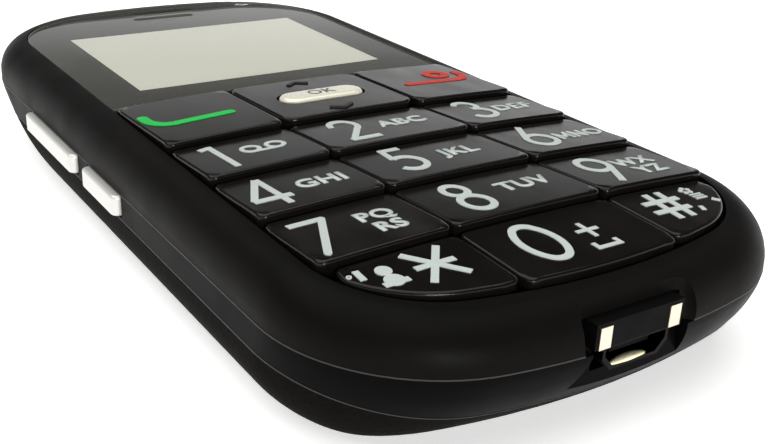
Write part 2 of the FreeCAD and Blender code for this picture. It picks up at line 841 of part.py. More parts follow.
def keypad_web():
    """Soft sealing sheet over the domes, standing on a thin leg all round."""
    web = keypad_sheet(web_overhang, board_top_z, web_top_z)
    web = web.cut(keypad_sheet(web_overhang - web_leg_width, board_top_z, web_top_z - web_thickness))
    for x, y in key_places():
        web = web.cut(cylinder(x, y, board_top_z, roof_z, plunger_radius + web_hole_gap))
    web = web.cut(key_region(1, 0, part_gap, board_top_z, roof_z))
    return clear_of_bosses(web).cut(block_clearance(board_gap))


def dome_sheet():
    """Thin sheet with one snap dome under each key, two under the rocker."""
    top = board_top_z + dome_sheet_thickness
    sheet = keypad_sheet(-dome_sheet_inset, board_top_z, top)
    sheet = clear_of_bosses(sheet).cut(block_clearance(2 * board_gap))
    ball_radius = (dome_radius ** 2 + dome_height ** 2) / (2 * dome_height)
    x, y = key_centre(1, 0)
    for x, y in key_places() + [(x, y - nav_nub_offset), (x, y + nav_nub_offset)]:
        ball = Part.makeSphere(ball_radius, V(x, y, top + dome_height - ball_radius))
        sheet = sheet.fuse(ball.common(cylinder(x, y, top, top + 2 * dome_height, 2 * dome_radius)))
    return sheet.removeSplitter()


# ==== side keys =====================================================================================

def side_key(y_span, flange_x, nubs):
    """Bar that stands through the wall, with a flange inside and nubs that meet the switches."""
    y0, y1 = y_span
    z0, z1 = side_key_bottom_z, side_key_top_z
    bar = box(-half_width - side_key_proud, -flange_x, y0, y1, z0, z1)
    face = [e for e in bar.Edges if e.BoundBox.XMax < -half_width]
    bar = bar.makeFillet(side_key_end_round, [e for e in face if e.BoundBox.ZLength > 1])
    face = [e for e in bar.Edges if e.BoundBox.XMax < side_key_end_round - half_width - side_key_proud + 0.1]
    bar = bar.makeFillet(side_key_face_round, [e for e in face if e.BoundBox.ZLength < 0.1])
    back_x = side_flange_thickness - flange_x
    over = side_flange_overlap
    bar = bar.fuse(box(-flange_x, back_x, y0 - over, y1 + over, z0, z1))
    for y in nubs:
        half = side_nub_half
        bar = bar.fuse(box(back_x, back_x + side_nub_length, y - half, y + half, z0 + half, z1 - half))
    return bar.removeSplitter()


def side_board():
    """Upright strip behind the side keys, with the small rest that the rocker tips on."""
    y0 = lower_key_y[0] - side_board_margin
    y1 = upper_key_y[1] + side_board_margin
    front_x = side_board_x - side_board_thickness
    board = box(front_x, side_board_x, y0, y1, side_key_bottom_z, board_bottom_z)
    y = sum(upper_key_y) / 2
    rest_x = rocker_rest_gap + side_flange_thickness + rocker_flange_gap - inner_half_width
    half = rocker_rest_half
    rest = box(rest_x, front_x, y - half, y + half, side_key_bottom_z + half, board_bottom_z)
    return board.fuse(rest).removeSplitter()


def side_switches():
    """Three press switches on the strip: one behind each end of the rocker, one behind the lower key."""
    x1 = side_board_x - side_board_thickness
    x0 = x1 - side_switch_thickness
    z0 = side_key_bottom_z + switch_tip_length / 2
    z1 = side_key_top_z - switch_tip_length / 2
    places = (upper_key_y[0] + side_switch_inset, upper_key_y[1] - side_switch_inset, sum(lower_key_y) / 2)
    bodies = []
    for y in places:
        body = box(x0 + switch_tip_length, x1, y - side_switch_half, y + side_switch_half, z0, z1)
        body = body.makeFillet(side_switch_thickness / 3, edges_along(body, X_AXIS))
        tip = Part.makeCylinder(switch_tip_radius, switch_tip_length, V(x0, y, (z0 + z1) / 2), X_AXIS)
        bodies.append(body.fuse(tip))
    return Part.Compound(bodies)


# ==== board and its parts ===========================================================================

def main_board():
    edge = housing_wall + board_gap
    solid = prism(body_outline(board_bottom_z, edge, edge, housing_end_wall + board_gap), board_thickness)
    for x, y in screw_points:
        solid = solid.cut(cylinder(x, y, 0, far, screw_radius + 2 * screw_gap))
    return solid


def shield_can(x0, x1):
    y0 = display_bottom_y + shield_low_margin
    y1 = y0 + shield_length
    z0, z1 = board_bottom_z - shield_height, board_bottom_z
    wall = shield_wall
    can = rounded_box(x0, x1, y0, y1, z0, z1, 2 * wall)
    return can.cut(box(x0 + wall, x1 - wall, y0 + wall, y1 - wall, z0 + wall, z1))


def microphone():
    return cylinder(mic_x, mic_y, board_bottom_z - mic_height, board_bottom_z, mic_radius)


def sim_holder():
    """Tray for a small card, open at one end, with a window in its floor."""
    z0, z1 = board_bottom_z - sim_height, board_bottom_z
    wall = sim_wall
    solid = rounded_box(sim_x0, sim_x1, sim_y0, sim_y1, z0, z1, 2 * wall)
    solid = solid.cut(box(sim_x0 + wall, sim_x1 - wall, sim_y0 - wall, sim_y1 - wall, z0 + wall, z1 - wall))
    x, y = (sim_x0 + sim_x1) / 2, (sim_y0 + sim_y1) / 2
    return solid.cut(slot_solid(sim_width / 2, sim_length / 3, x, y, z0, z0 + wall))


def battery():
    solid = rounded_box(-battery_half_width, battery_half_width, battery_bottom_y, battery_top_y,
                        frame_floor_bottom_z - battery_thickness, frame_floor_bottom_z, battery_corner)
    flat = [e for e in solid.Edges if e.BoundBox.ZLength < 0.01]
    return solid.makeFillet(battery_edge_round, flat)


def battery_connector():
    y0 = battery_top_y + blade_thickness
    z1 = frame_floor_bottom_z
    return rounded_box(-connector_half_width, connector_half_width, y0, y0 + connector_depth,
                       z1 - connector_height, z1, connector_depth / 4)


def battery_contacts():
    """Three spring blades between the battery's end and the connector."""
    y0 = battery_top_y
    half = blade_width / 2
    z0 = frame_floor_bottom_z - (connector_height + blade_height) / 2
    blades = []
    for i in (-1, 0, 1):
        x = i * blade_pitch
        blades.append(box(x - half, x + half, y0, y0 + blade_thickness, z0, z0 + blade_height))
    return Part.Compound(blades)


def loudspeaker():
    z1 = frame_floor_bottom_z
    z0 = z1 - speaker_height
    body = cylinder(speaker_x, speaker_y, z0, z1, speaker_radius)
    return body.cut(cylinder(speaker_x, speaker_y, z0, z0 + speaker_recess, speaker_radius - speaker_rim))


def vibration_motor():
    z1 = frame_floor_bottom_z
    return cylinder(motor_x, speaker_y, z1 - motor_height, z1, motor_radius)


def antenna_carrier():
    """Thin open tray under the top end of the frame."""
    x, z1, wall = antenna_half_width, frame_floor_bottom_z, antenna_wall
    y0 = speaker_y + speaker_radius + antenna_gap
    y1 = y0 + antenna_width
    solid = rounded_box(-x, x, y0, y1, z1 - antenna_height, z1, wall)
    solid = solid.common(prism(lip_outline(0, lip_thickness + part_gap), far))
    return solid.cut(box(wall - x, x - wall, y0 + wall, y1 - wall, z1 - antenna_height, z1 - antenna_skin))


def housing_screws():
    screws = []
    z1 = frame_floor_bottom_z
    z0 = z1 - screw_head_height
    long, wide = screw_slot_length / 2, screw_slot_width / 2
    for x, y in screw_points:
        head = cylinder(x, y, z0, z1, screw_head_radius)
        shank = cylinder(x, y, z1, board_top_z + screw_bite, screw_radius)
        cross = box(x - long, x + long, y - wide, y + wide, z0, z0 + screw_slot_depth)
        cross = cross.fuse(box(x - wide, x + wide, y - long, y + long, z0, z0 + screw_slot_depth))
        screws.append(head.fuse(shank).cut(cross).removeSplitter())
    return Part.Compound(screws)


# ==== bottom end ====================================================================================

def contact(side):
    """Bent contact: an upright pad in the block's face and a leg back to the board."""
    x0 = contact_inner_x if side > 0 else -contact_inner_x - contact_width
    x1 = x0 + contact_width
    y0 = contact_face_y
    pad = box(x0, x1, y0, y0 + contact_thickness, front_parting_z, front_parting_z + contact_height)
    leg = box(x0, x1, y0, block_back_y - contact_leg_end, board_top_z, board_top_z + contact_thickness)
    return pad.fuse(leg).removeSplitter()


def contact_block():
    """Insulating block in the dock opening: a deep nose in front of the board, a step over its edge."""
    x = block_half_width
    step_y = board_end_y - part_gap / 3
    low = box(-x, x, block_face_y, step_y, front_parting_z, dock_top_z)
    high = box(-x, x, step_y, block_back_y, board_top_z, dock_top_z - part_gap)
    return low.fuse(high).removeSplitter().cut(contact(1)).cut(contact(-1))


def socket_profile(grow, y):
    """Outline of the socket: square above, with the two lower corners cut away."""
    w = socket_width / 2 - grow
    z1 = socket_top_z - grow
    z0 = socket_bottom_z + grow
    high, low = z0 + socket_corner_z, w - socket_corner_x
    points = [V(-w, y, z1), V(w, y, z1), V(w, y, high), V(low, y, z0), V(-low, y, z0), V(-w, y, high)]
    return Part.Face(Part.makePolygon(points + points[:1]))


def socket_shell():
    """Folded metal shell with a closed back and two tabs up to the board."""
    solid = socket_profile(0, socket_mouth_y).extrude(V(0, socket_depth, 0))
    bore = socket_profile(socket_wall, socket_mouth_y).extrude(V(0, socket_depth - socket_back_wall, 0))
    tab_y = board_end_y + socket_gap
    half = socket_tab_width / 2
    tabs = []
    for x in (-socket_tab_x, socket_tab_x):
        tabs.append(box(x - half, x + half, tab_y, socket_back_y, socket_top_z, board_bottom_z))
    return solid.fuse(tabs).cut(bore).removeSplitter()


def socket_tongue():
    """Flat tongue inside the shell, rounded at the two corners a plug meets."""
    x = tongue_half_width
    z1 = socket_top_z - tongue_drop
    y0 = socket_mouth_y + tongue_setback
    solid = box(-x, x, y0, socket_back_y - socket_back_wall, z1 - tongue_thickness, z1)
    front = [e for e in edges_along(solid, Z_AXIS) if e.BoundBox.YMax < y0 + 0.1]
    return solid.makeFillet(tongue_thickness / 2, front)


def build():
    can_x = half_width - shield_side_margin
    nodes = {
        "front_housing": front_housing(),
        "display_lens": display_lens(),
        "lens_gasket": lens_gasket(),
        "earpiece_mesh": earpiece_mesh(),
        "mid_frame": mid_frame(),
        "battery_cover": battery_cover(),
        "display_panel": display_panel(),
        "display_frame": display_frame(),
        "earpiece_receiver": earpiece_receiver(),
        "keypad_frame": keypad_frame(),
        "keypad_web": keypad_web(),
        "dome_sheet": dome_sheet(),
        "main_board": main_board(),
        "shield_can_radio": shield_can(-can_x, -shield_split),
        "shield_can_power": shield_can(shield_split, can_x - power_shield_step),
        "microphone": microphone(),
        "sim_holder": sim_holder(),
        "battery": battery(),
        "battery_connector": battery_connector(),
        "battery_contacts": battery_contacts(),
        "loudspeaker": loudspeaker(),
        "vibration_motor": vibration_motor(),
        "antenna_carrier": antenna_carrier(),
        "housing_screws": housing_screws(),
        "charge_contact_left": contact(-1),
        "charge_contact_right": contact(1),
        "contact_block": contact_block(),
        "socket_shell": socket_shell(),
        "socket_tongue": socket_tongue(),
        "side_board": side_board(),
        "side_switches": side_switches(),
        "side_key_upper": side_key(upper_key_y, inner_half_width - rocker_flange_gap, ()),
        "side_key_lower": side_key(lower_key_y, inner_half_width, (sum(lower_key_y) / 2,)),
        "key_ok": key_ok(),
    }
    for row, names in enumerate(key_rows):
        for column, name in enumerate(names):
            nodes[name] = key_nav() if name == "key_nav" else key(column, row)
    return nodes


os.makedirs("parts", exist_ok=True)
for name, shape in build().items():
    shape.exportStep(os.path.join("parts", name + ".step"))
    print(name, round(shape.Volume, 2), shape.isValid(), len(shape.Solids), len(shape.Faces))
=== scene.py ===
import json
import math

import bmesh
import bpy
from mathutils import Matrix, Vector
from mathutils.bvhtree import BVHTree
from mathutils.geometry import convex_hull_2d, intersect_point_line


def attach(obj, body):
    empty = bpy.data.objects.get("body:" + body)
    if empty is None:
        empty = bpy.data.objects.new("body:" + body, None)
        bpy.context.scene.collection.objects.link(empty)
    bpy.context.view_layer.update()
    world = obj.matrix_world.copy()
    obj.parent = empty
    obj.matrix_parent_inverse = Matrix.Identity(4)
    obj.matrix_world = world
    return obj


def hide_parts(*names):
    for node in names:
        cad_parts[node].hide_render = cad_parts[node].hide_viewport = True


# Handset with large keys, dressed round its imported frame. Lengths here are in millimetres unless a name ends
# in _m, and MM turns them to the metres of the scene. The frame's own axes hold: +Y to the earpiece end, +Z out
# of the front, and the back lies on z = 0.

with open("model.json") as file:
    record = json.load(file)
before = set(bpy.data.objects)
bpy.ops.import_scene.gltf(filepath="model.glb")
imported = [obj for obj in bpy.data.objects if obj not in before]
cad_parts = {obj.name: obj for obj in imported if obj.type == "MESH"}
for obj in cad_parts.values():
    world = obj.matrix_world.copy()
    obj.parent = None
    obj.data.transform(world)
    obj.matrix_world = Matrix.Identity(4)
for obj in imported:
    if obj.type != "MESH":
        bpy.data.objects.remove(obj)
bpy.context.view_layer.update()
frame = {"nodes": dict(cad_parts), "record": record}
MM = 0.001
nodes = frame["nodes"]
body_of_node = {n: b for b, members in frame["record"]["behaviour"]["bodies"].items() for n in members}


# ---- colour and nodes ----------------------------------------------------------------------------------------

def linear(code):
    """An sRGB hex colour as the linear RGBA that a shader socket takes."""
    parts = [int(code[i:i + 2], 16) / 255 for i in (1, 3, 5)]
    return [c / 12.92 if c <= 0.04045 else ((c + 0.055) / 1.055) ** 2.4 for c in parts] + [1.0]


def add(tree, kind, settings=None, **inputs):
    """Adds one node, with its settings, and its inputs given as values or as another node's output."""
    node = tree.nodes.new(kind)
    for name, value in (settings or {}).items():
        setattr(node, name, value)
    for name, value in inputs.items():
        key = int(name[1:]) if name[0] == "_" and name[1:].isdigit() else name.replace("_", " ")
        if isinstance(value, bpy.types.NodeSocket):
            tree.links.new(value, node.inputs[key])
        else:
            node.inputs[key].default_value = value
    return node


def material(name, base, roughness, metallic=0.0, **more):
    """A named surface on one Principled shader. Returns the material, its tree and its shader."""
    made = bpy.data.materials.new(name)
    made.use_nodes = True
    tree = made.node_tree
    shader = tree.nodes["Principled BSDF"]
    shader.inputs["Base Color"].default_value = linear(base)
    shader.inputs["Roughness"].default_value = roughness
    shader.inputs["Metallic"].default_value = metallic
    for key, value in more.items():
        shader.inputs[key.replace("_", " ")].default_value = value
    return made, tree, shader


def place(tree, stretch=(1, 1, 1)):
    """Object coordinates, stretched along an axis where a finish has a direction."""
    coordinates = add(tree, "ShaderNodeTexCoord")
    return add(tree, "ShaderNodeMapping", Vector=coordinates.outputs["Object"], Scale=stretch).outputs[0]


def noise(tree, size, detail=2.0, stretch=(1, 1, 1)):
    """Soft noise whose features are about size millimetres across."""
    made = add(tree, "ShaderNodeTexNoise", Vector=place(tree, stretch), Scale=1 / (size * MM), Detail=detail)
    return made.outputs["Fac"]


def spread(tree, value, low, high):
    """Turns noise, which lies mostly from 0.3 to 0.7, into a value between two limits."""
    ranged = add(tree, "ShaderNodeMapRange", Value=value, From_Min=0.3, From_Max=0.7, To_Min=low, To_Max=high)
    return ranged.outputs[0]


def blend_colours(tree, factor, first, second):
    """A colour between two hex colours."""
    mixed = add(tree, "ShaderNodeMix", {"data_type": "RGBA"}, _0=factor, _6=linear(first), _7=linear(second))
    return mixed.outputs[2]


def tint(tree, shader, factor, first, second):
    """Lets the base colour wander between two near colours."""
    tree.links.new(blend_colours(tree, factor, first, second), shader.inputs["Base Color"])


def vary_roughness(tree, shader, factor, low, high):
    """Lets the gloss wander between two roughnesses."""
    tree.links.new(spread(tree, factor, low, high), shader.inputs["Roughness"])


def relief(tree, shader, height, depth, strength=1.0):
    """Bump whose highest point stands depth millimetres over its lowest."""
    bump = add(tree, "ShaderNodeBump", Strength=strength, Distance=depth * MM, Height=height)
    tree.links.new(bump.outputs[0], shader.inputs["Normal"])


# ---- finishes ------------------------------------------------------------------------------------------------

def soft_touch_paint():
    """ABS under soft-touch paint: near black and matt, with a dull highlight and a very fine orange peel."""
    made, tree, shader = material("soft_touch_paint", "#100f0e", 0.44, Specular_IOR_Level=0.036)
    tint(tree, shader, spread(tree, noise(tree, 14, 3), 0, 1), "#0d0c0b", "#141211")
    vary_roughness(tree, shader, noise(tree, 5, 4), 0.4, 0.5)
    relief(tree, shader, noise(tree, 0.28, 3), 0.006, 0.6)
    return made


def satin_abs():
    """Moulded ABS from a polished tool, worn to a satin: the band between the front and the cover."""
    made, tree, shader = material("satin_moulded_abs", "#0b0a0a", 0.36, Specular_IOR_Level=0.018)
    vary_roughness(tree, shader, noise(tree, 7, 3), 0.31, 0.42)
    relief(tree, shader, noise(tree, 0.6, 2), 0.004, 0.5)
    return made


def spark_textured_abs():
    """Moulded ABS from a spark-eroded tool: rough even grain, drawn at 0.3 mm so that it shows."""
    made, tree, shader = material("spark_textured_abs", "#0b0a0a", 0.6, Specular_IOR_Level=0.016)
    tint(tree, shader, spread(tree, noise(tree, 0.5, 2), 0, 1), "#080707", "#100e0c")
    grain = add(tree, "ShaderNodeTexVoronoi", Vector=place(tree), Scale=1 / (0.3 * MM), Randomness=1.0)
    relief(tree, shader, grain.outputs["Distance"], 0.035, 0.8)
    return made


def gloss_key_plastic():
    """Moulded polycarbonate keycap: dark brown-black and glossy, with a faint wiped haze."""
    made, tree, shader = material("gloss_key_polycarbonate", "#0f0c0b", 0.18, Specular_IOR_Level=0.22)
    tint(tree, shader, spread(tree, noise(tree, 6, 3), 0, 1), "#100e0c", "#15120f")
    vary_roughness(tree, shader, noise(tree, 3, 5, (1, 0.35, 1)), 0.15, 0.24)
    relief(tree, shader, noise(tree, 2.5, 1), 0.0012, 0.3)
    return made


def pad_print(name, code):
    """Pad-printed ink: flat colour with a slightly uneven film."""
    made, tree, shader = material(name, code, 0.5, Specular_IOR_Level=0.25)
    vary_roughness(tree, shader, noise(tree, 0.5, 3), 0.42, 0.6)
    relief(tree, shader, noise(tree, 0.22, 2), 0.006, 0.5)
    return made


def clear_acrylic():
    """Clear acrylic lens: hard gloss over whatever lies behind it."""
    made, tree, shader = material("clear_acrylic", "#e4e6da", 0.03, IOR=1.49, Alpha=0.06)
    relief(tree, shader, noise(tree, 9, 2), 0.004, 0.4)
    return made


def back_print():
    """Black ink printed on the lens's underside: deep gloss, since it is seen through the lens."""
    made, tree, shader = material("lens_back_print", "#1d1a12", 0.06, IOR=1.5)
    shader.inputs["Coat Weight"].default_value = 0.3
    shader.inputs["Coat Roughness"].default_value = 0.03
    vary_roughness(tree, shader, noise(tree, 8, 3), 0.05, 0.12)
    return made


def display_film():
    """Unlit reflective display: pale grey-green film with a grid of cells, 0.35 mm each."""
    made, tree, shader = material("reflective_display_film", "#d6d6c6", 0.38, IOR=1.5)
    cells = add(tree, "ShaderNodeTexChecker", Vector=place(tree), Scale=1 / (0.35 * MM),
                Color1=linear("#e9e9d8"), Color2=linear("#e4e4d2"))
    tree.links.new(cells.outputs[0], shader.inputs["Base Color"])
    shader.inputs["Coat Weight"].default_value = 0.9
    shader.inputs["Coat Roughness"].default_value = 0.05
    return made


def silver_lacquer(name, code, roughness, metallic=0.35):
    """Silver lacquer over a plastic key: pale, with metallic flake drawn at 0.12 mm."""
    made, tree, shader = material(name, code, roughness, metallic)
    shader.inputs["Coat Weight"].default_value = 0.5
    shader.inputs["Coat Roughness"].default_value = 0.12
    flake = add(tree, "ShaderNodeTexVoronoi", Vector=place(tree), Scale=1 / (0.12 * MM))
    vary_roughness(tree, shader, flake.outputs["Distance"], roughness - 0.04, roughness + 0.06)
    relief(tree, shader, noise(tree, 1.5, 1), 0.001, 0.3)
    return made


def metal(name, code, roughness, grain, depth, stretch=(1, 1, 1)):
    """Bare or plated sheet metal with a fine rolled or brushed grain."""
    made, tree, shader = material(name, code, roughness, 1.0)
    fac = noise(tree, grain, 3, stretch)
    vary_roughness(tree, shader, fac, roughness - 0.06, roughness + 0.1)
    relief(tree, shader, fac, depth, 0.6)
    return made


def rubber(name, code):
    """Moulded silicone rubber: dull, with a faint bloom."""
    made, tree, shader = material(name, code, 0.68, IOR=1.43)
    vary_roughness(tree, shader, noise(tree, 1.2, 3), 0.6, 0.78)
    relief(tree, shader, noise(tree, 0.3, 2), 0.006, 0.6)
    return made


def moulded(name, code, roughness=0.5, **more):
    """Plain moulded engineering plastic with a light tool texture."""
    made, tree, shader = material(name, code, roughness, IOR=1.5, **more)
    vary_roughness(tree, shader, noise(tree, 2.5, 3), roughness - 0.06, roughness + 0.08)
    relief(tree, shader, noise(tree, 0.35, 2), 0.006, 0.6)
    return made


def solder_resist():
    """Circuit board: green resist over a woven glass laminate, whose 0.4 mm weave shows faintly."""
    made, tree, shader = material("green_solder_resist", "#1d4a30", 0.34, IOR=1.55)
    weave = add(tree, "ShaderNodeTexChecker", Vector=place(tree), Scale=1 / (0.4 * MM),
                Color1=linear("#1c482f"), Color2=linear("#225338"))
    tree.links.new(weave.outputs[0], shader.inputs["Base Color"])
    relief(tree, shader, noise(tree, 0.5, 2), 0.008, 0.5)
    return made


def woven_mesh(name, code, metallic):
    """Woven acoustic mesh, 0.25 mm between threads: dark holes between rounded threads."""
    made, tree, shader = material(name, code, 0.45, metallic)
    # The wave node has one band in 0.314 of its own units.
    scale = 0.314 / (0.25 * MM)
    along, across = (add(tree, "ShaderNodeTexWave", {"bands_direction": axis, "wave_profile": "SIN"},
                         Vector=place(tree), Scale=scale).outputs["Fac"] for axis in ("X", "Y"))
    threads = add(tree, "ShaderNodeMath", {"operation": "MAXIMUM"}, _0=along, _1=across).outputs[0]
    tree.links.new(blend_colours(tree, threads, "#050505", code), shader.inputs["Base Color"])
    relief(tree, shader, threads, 0.06, 0.8)
    return made


def battery_wrap():
    """Shrink-wrapped cell: satin grey film, bare of any print, with faint lengthwise stretch marks."""
    made, tree, shader = material("battery_shrink_wrap", "#5d6166", 0.38, IOR=1.5)
    tint(tree, shader, spread(tree, noise(tree, 9, 3, (1, 0.2, 1)), 0, 1), "#565a60", "#656a70")
    relief(tree, shader, noise(tree, 3.5, 2, (1, 0.25, 1)), 0.02, 0.5)
    return made


key_plastic = gloss_key_plastic()
white_ink = pad_print("white_pad_print", "#ccd4cf")
housing_paint = soft_touch_paint()
steel = metal("rolled_stainless_steel", "#c9c8c4", 0.28, 0.25, 0.003)
gold = metal("gold_plated_spring", "#ebdccb", 0.36, 0.3, 0.003)
inner_plastic = moulded("black_moulded_nylon", "#0b0b0b", 0.52, Specular_IOR_Level=0.04)

finishes = {
    "front_housing": housing_paint,
    "mid_frame": satin_abs(),
    "battery_cover": spark_textured_abs(),
    "display_lens": clear_acrylic(),
    "lens_gasket": rubber("black_foam_tape", "#151515"),
    "earpiece_mesh": woven_mesh("black_steel_mesh", "#3a3a38", 0.8),
    "display_panel": display_film(),
    "display_frame": moulded("white_moulded_diffuser", "#d9d9d4", 0.42),
    "earpiece_receiver": steel,
    # Painted shade: the steel plate under the keys is coloured near black so that the gaps between the keys read
    # dark.
    "keypad_frame": metal("steel_plate_painted_gap_shade", "#1c1c1d", 0.42, 0.5, 0.004, (1, 0.2, 1)),
    "keypad_web": rubber("black_silicone_web", "#1b1b1c"),
    "dome_sheet": metal("spring_steel_domes", "#c4c2bc", 0.3, 0.3, 0.002),
    "main_board": solder_resist(),
    "shield_can_radio": metal("tinned_steel_can", "#bdbdb8", 0.34, 0.7, 0.003, (0.2, 1, 1)),
    "shield_can_power": metal("tinned_steel_can_small", "#bdbdb8", 0.34, 0.7, 0.003, (0.2, 1, 1)),
    "microphone": rubber("black_rubber_boot", "#1a1a1a"),
    "sim_holder": metal("nickel_plated_tray", "#cbc7bd", 0.3, 0.4, 0.003, (0.3, 1, 1)),
    "battery": battery_wrap(),
    "battery_connector": moulded("cream_moulded_nylon", "#cfc8b4", 0.5),
    "battery_contacts": gold,
    "loudspeaker": moulded("black_speaker_basket", "#1b1b1c", 0.45),
    "vibration_motor": metal("drawn_steel_can", "#b9b8b4", 0.3, 0.3, 0.002),
    "antenna_carrier": moulded("grey_laser_plastic", "#4b4c4e", 0.48),
    "housing_screws": metal("blackened_steel", "#3a3a3c", 0.38, 0.2, 0.003),
    "charge_contact_left": gold,
    "charge_contact_right": gold,
    "contact_block": inner_plastic,
    # Painted shade: the nickel shell is coloured near black, as the shade inside the inlet's notch.
    "socket_shell": metal("nickel_shell_painted_shade", "#131110", 0.42, 0.3, 0.003),
    "socket_tongue": inner_plastic,
    "side_board": solder_resist(),
    "side_switches": steel,
    "side_key_upper": silver_lacquer("silver_key_lacquer", "#e6e5e0", 0.34),
    "side_key_lower": silver_lacquer("silver_key_lacquer_lower", "#e6e5e0", 0.34),
    "key_ok": silver_lacquer("champagne_key_lacquer", "#efebd6", 0.22, 0.1),
}
for name, node in nodes.items():
    finish = finishes.get(name, key_plastic)
    node.data.materials.clear()
    node.data.materials.append(finish)


# ---- building pieces -----------------------------------------------------------------------------------------

def node_mesh(node):
    """A copy of a CAD node's mesh in millimetres, with its loose triangles joined."""
    bm = bmesh.new()
    bm.from_mesh(nodes[node].data)
    bmesh.ops.scale(bm, vec=(1 / MM,) * 3, verts=bm.verts)
    bmesh.ops.remove_doubles(bm, verts=bm.verts, dist=0.001)
    return bm


def verts_of(geometry):
    """The vertices among what a bmesh operator gives back."""
    return [g for g in geometry if isinstance(g, bmesh.types.BMVert)]


def finished(name, bm, finish, body):
    """Makes the bmesh an object at the origin, in metres, that rides on a body."""
    bmesh.ops.recalc_face_normals(bm, faces=bm.faces)
    mesh = bpy.data.meshes.new(name)
    bm.to_mesh(mesh)
    bm.free()
    mesh.transform(Matrix.Scale(MM, 4))
    mesh.materials.append(finish)
    piece = bpy.data.objects.new(name, mesh)
    bpy.context.scene.collection.objects.link(piece)
    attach(piece, body)
    return piece


def smooth(piece):
    """Shades all of a piece's faces as one curved surface."""
    for polygon in piece.data.polygons:
        polygon.use_smooth = True


def polar(radius, degrees):
    """The x and y of a point at an angle about the origin."""
    return radius * math.cos(math.radians(degrees)), radius * math.sin(math.radians(degrees))


def line(bm, x0, y0, x1, y1, width):
    """Flat bar from one point to another."""
    along = Vector((x1 - x0, y1 - y0, 0))
    side = Vector((-along.y, along.x, 0)).normalized() * width / 2
    start = Vector((x0, y0, 0))
    ends = [bm.verts.new(start + side), bm.verts.new(start - side)]
    moved = bmesh.ops.extrude_edge_only(bm, edges=[bm.edges.new(ends)])["geom"]
    bmesh.ops.translate(bm, vec=along, verts=verts_of(moved))


arc_step = 9  # degrees


def arc(bm, x, y, radius, start, turn, width):
    """Flat ribbon along part of a circle, from a start angle through a turn, both in degrees."""
    out = Vector((*polar(1, start), 0))
    centre = Vector((x, y, 0))
    ends = [bm.verts.new(centre + out * (radius + side * width / 2)) for side in (1, -1)]
    edge = bm.edges.new(ends)
    bmesh.ops.spin(bm, geom=ends + [edge], cent=centre, axis=(0, 0, 1), angle=math.radians(turn),
                   steps=max(3, round(abs(turn) / arc_step)), use_merge=abs(turn) >= 360, dvec=(0, 0, 0))


def disc(bm, x, y, radius):
    """Filled round."""
    bmesh.ops.create_circle(bm, cap_ends=True, radius=radius, segments=20, matrix=Matrix.Translation((x, y, 0)))


def strokes(shape, x, y, width, stretch=(1, 1)):
    """The bmeshes of a figure drawn as bars and arcs, stretched and set about one centre."""
    made = []
    for x0, y0, kind, *rest in shape:
        bm = bmesh.new()
        if kind == "to":
            line(bm, x0, y0, *rest, width)
        elif kind == "arc":
            arc(bm, x0, y0, *rest, width)
        else:
            disc(bm, x0, y0, *rest)
        bmesh.ops.scale(bm, vec=(*stretch, 1), verts=bm.verts)
        bmesh.ops.translate(bm, vec=(x, y, 0), verts=bm.verts)
        made.append(bm)
    return made


letter_room = 6.3  # widest that a word may be
cap_share = 0.729  # height of the font's capitals as a share of its size


def lettering(words, x, y, cap_height, bolden):
    """Plain capitals centred on a point, squeezed where they are wider than their room."""
    curve = bpy.data.curves.new("letters", "FONT")
    curve.body = words
    curve.size = cap_height / cap_share
    curve.align_x = "CENTER"
    curve.align_y = "CENTER"
    curve.offset = bolden
    curve.space_line = 0.98
    curve.space_character = 1.06
    curve.resolution_u = 5
    holder = bpy.data.objects.new("letters", curve)
    bpy.context.scene.collection.objects.link(holder)
    bpy.context.view_layer.update()
    mesh = bpy.data.meshes.new_from_object(holder.evaluated_get(bpy.context.evaluated_depsgraph_get()))
    bpy.data.objects.remove(holder)
    bpy.data.curves.remove(curve)
    bm = bmesh.new()
    bm.from_mesh(mesh)
    bpy.data.meshes.remove(mesh)
    bmesh.ops.remove_doubles(bm, verts=bm.verts, dist=0.0005)
    wide = max(v.co.x for v in bm.verts) - min(v.co.x for v in bm.verts)
    bmesh.ops.scale(bm, vec=(min(1, letter_room / wide), 1, 1), verts=bm.verts)
    bmesh.ops.translate(bm, vec=(x, y, 0), verts=bm.verts)
    return bm


surfaces = {}  # one search tree for each node, made when it is first asked for


def surface_height(node, x, y):
    """Height of a CAD node's top at a place, in millimetres."""
    if node not in surfaces:
        mesh = nodes[node].data
        corners = [v.co for v in mesh.vertices]
        surfaces[node] = BVHTree.FromPolygons(corners, [p.vertices for p in mesh.polygons])
    hit = surfaces[node].ray_cast(Vector((x * MM, y * MM, 1)), Vector((0, 0, -1)))[0]
    if hit is None:
        raise ValueError(f"nothing of {node} lies under {x:.2f}, {y:.2f}")
    return hit.z / MM


film_step = 0.006  # keeps crossing strokes from lying at one height


def printed(name, flats, node, finish, proud=0.07, sunk=0.04):
    """Lays flat figures on a node's top as a thin raised film, sunk a little into it below."""
    whole = bmesh.new()
    for i, flat in enumerate(flats):
        bmesh.ops.recalc_face_normals(flat, faces=flat.faces)
        if sum(f.normal.z for f in flat.faces) < 0:
            bmesh.ops.reverse_faces(flat, faces=flat.faces)
        raised = set(verts_of(bmesh.ops.extrude_face_region(flat, geom=flat.faces[:])["geom"]))
        for vert in flat.verts:
            lift = proud + film_step * (i % 4) if vert in raised else -sunk
            vert.co.z = surface_height(node, vert.co.x, vert.co.y) + lift
        mesh = bpy.data.meshes.new("part")
        bmesh.ops.recalc_face_normals(flat, faces=flat.faces)
        flat.to_mesh(mesh)
        flat.free()
        whole.from_mesh(mesh)
        bpy.data.meshes.remove(mesh)
    finished(name, whole, finish, body_of_node[node])


# ---- legends on the keys -------------------------------------------------------------------------------------

# A figure is a list of strokes about its own centre: a bar from one point "to" another, an "arc" with its
# radius, start and turn, or a "disc" with its radius.

